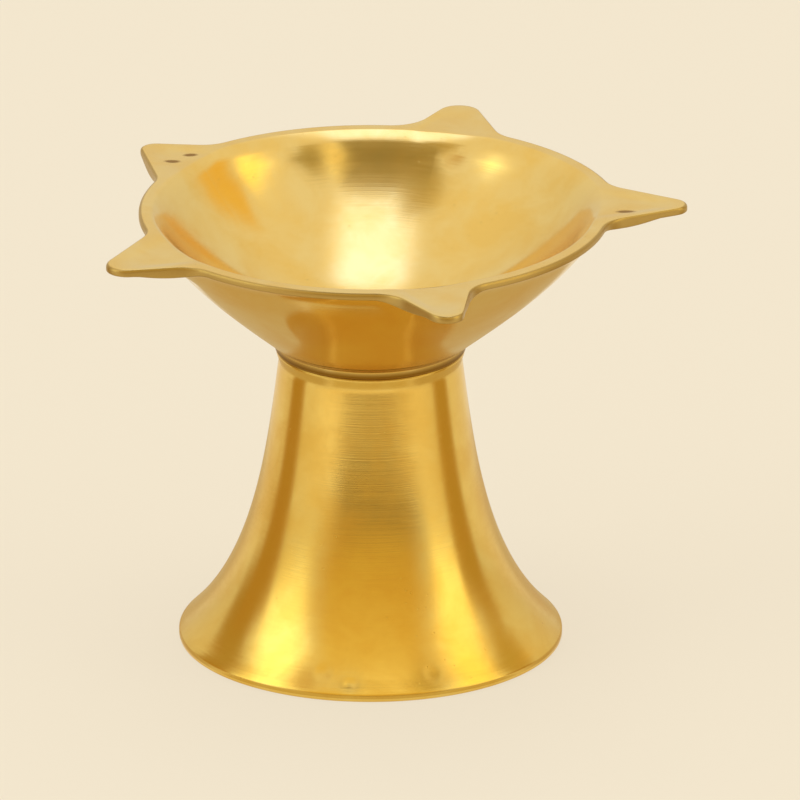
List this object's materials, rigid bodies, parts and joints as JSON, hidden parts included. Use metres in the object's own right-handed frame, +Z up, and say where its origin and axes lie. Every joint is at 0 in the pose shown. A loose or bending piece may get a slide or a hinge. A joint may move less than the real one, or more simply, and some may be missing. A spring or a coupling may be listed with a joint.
{
  "type": "pedestal oil lamp",
  "caption": "Footed brass oil lamp: a round oil bowl with pointed wick lips, screwed to a flared hollow pedestal from below.",
  "frame": {"origin": "on the standing surface, under the middle of the lamp's box; the turned axis of the lamp is at X -0.004061, Y 0.000311", "axes": "+Z up; +X towards the longest wick lip, to the right in the picture; +Y away from the viewer"},
  "size_m": [0.087, 0.0906, 0.068],
  "materials": {
    "pedestal_brass": "turned and polished",
    "bowl_brass": "turned and polished",
    "screw_steel": "zinc plated",
    "spring_washer_steel": "zinc plated",
    "plain_washer_steel": "zinc plated"
  },
  "bodies": {
    "base": {"pedestal": "pedestal_brass", "plain_washer": "plain_washer_steel", "spring_washer": "spring_washer_steel"},
    "oil_bowl": {"bowl": "bowl_brass"},
    "screw": {"fixing_screw": "screw_steel"}
  },
  "joints": [
    {"name": "bowl_rise", "type": "slide", "parent": "base", "child": "oil_bowl", "axis": [0, 0, 1], "range_m": [0, 0.005]},
    {"name": "screw_turn", "type": "hinge", "parent": "base", "child": "screw", "pos_m": [-0.00406, 0.00031, 0.0308], "axis": [0, 0, -1], "range_deg": [0, 1800]}
  ],
  "couplings": [
    {"joint": "screw_turn", "follows": "bowl_rise", "rad_per_m": 6283.2}
  ]
}
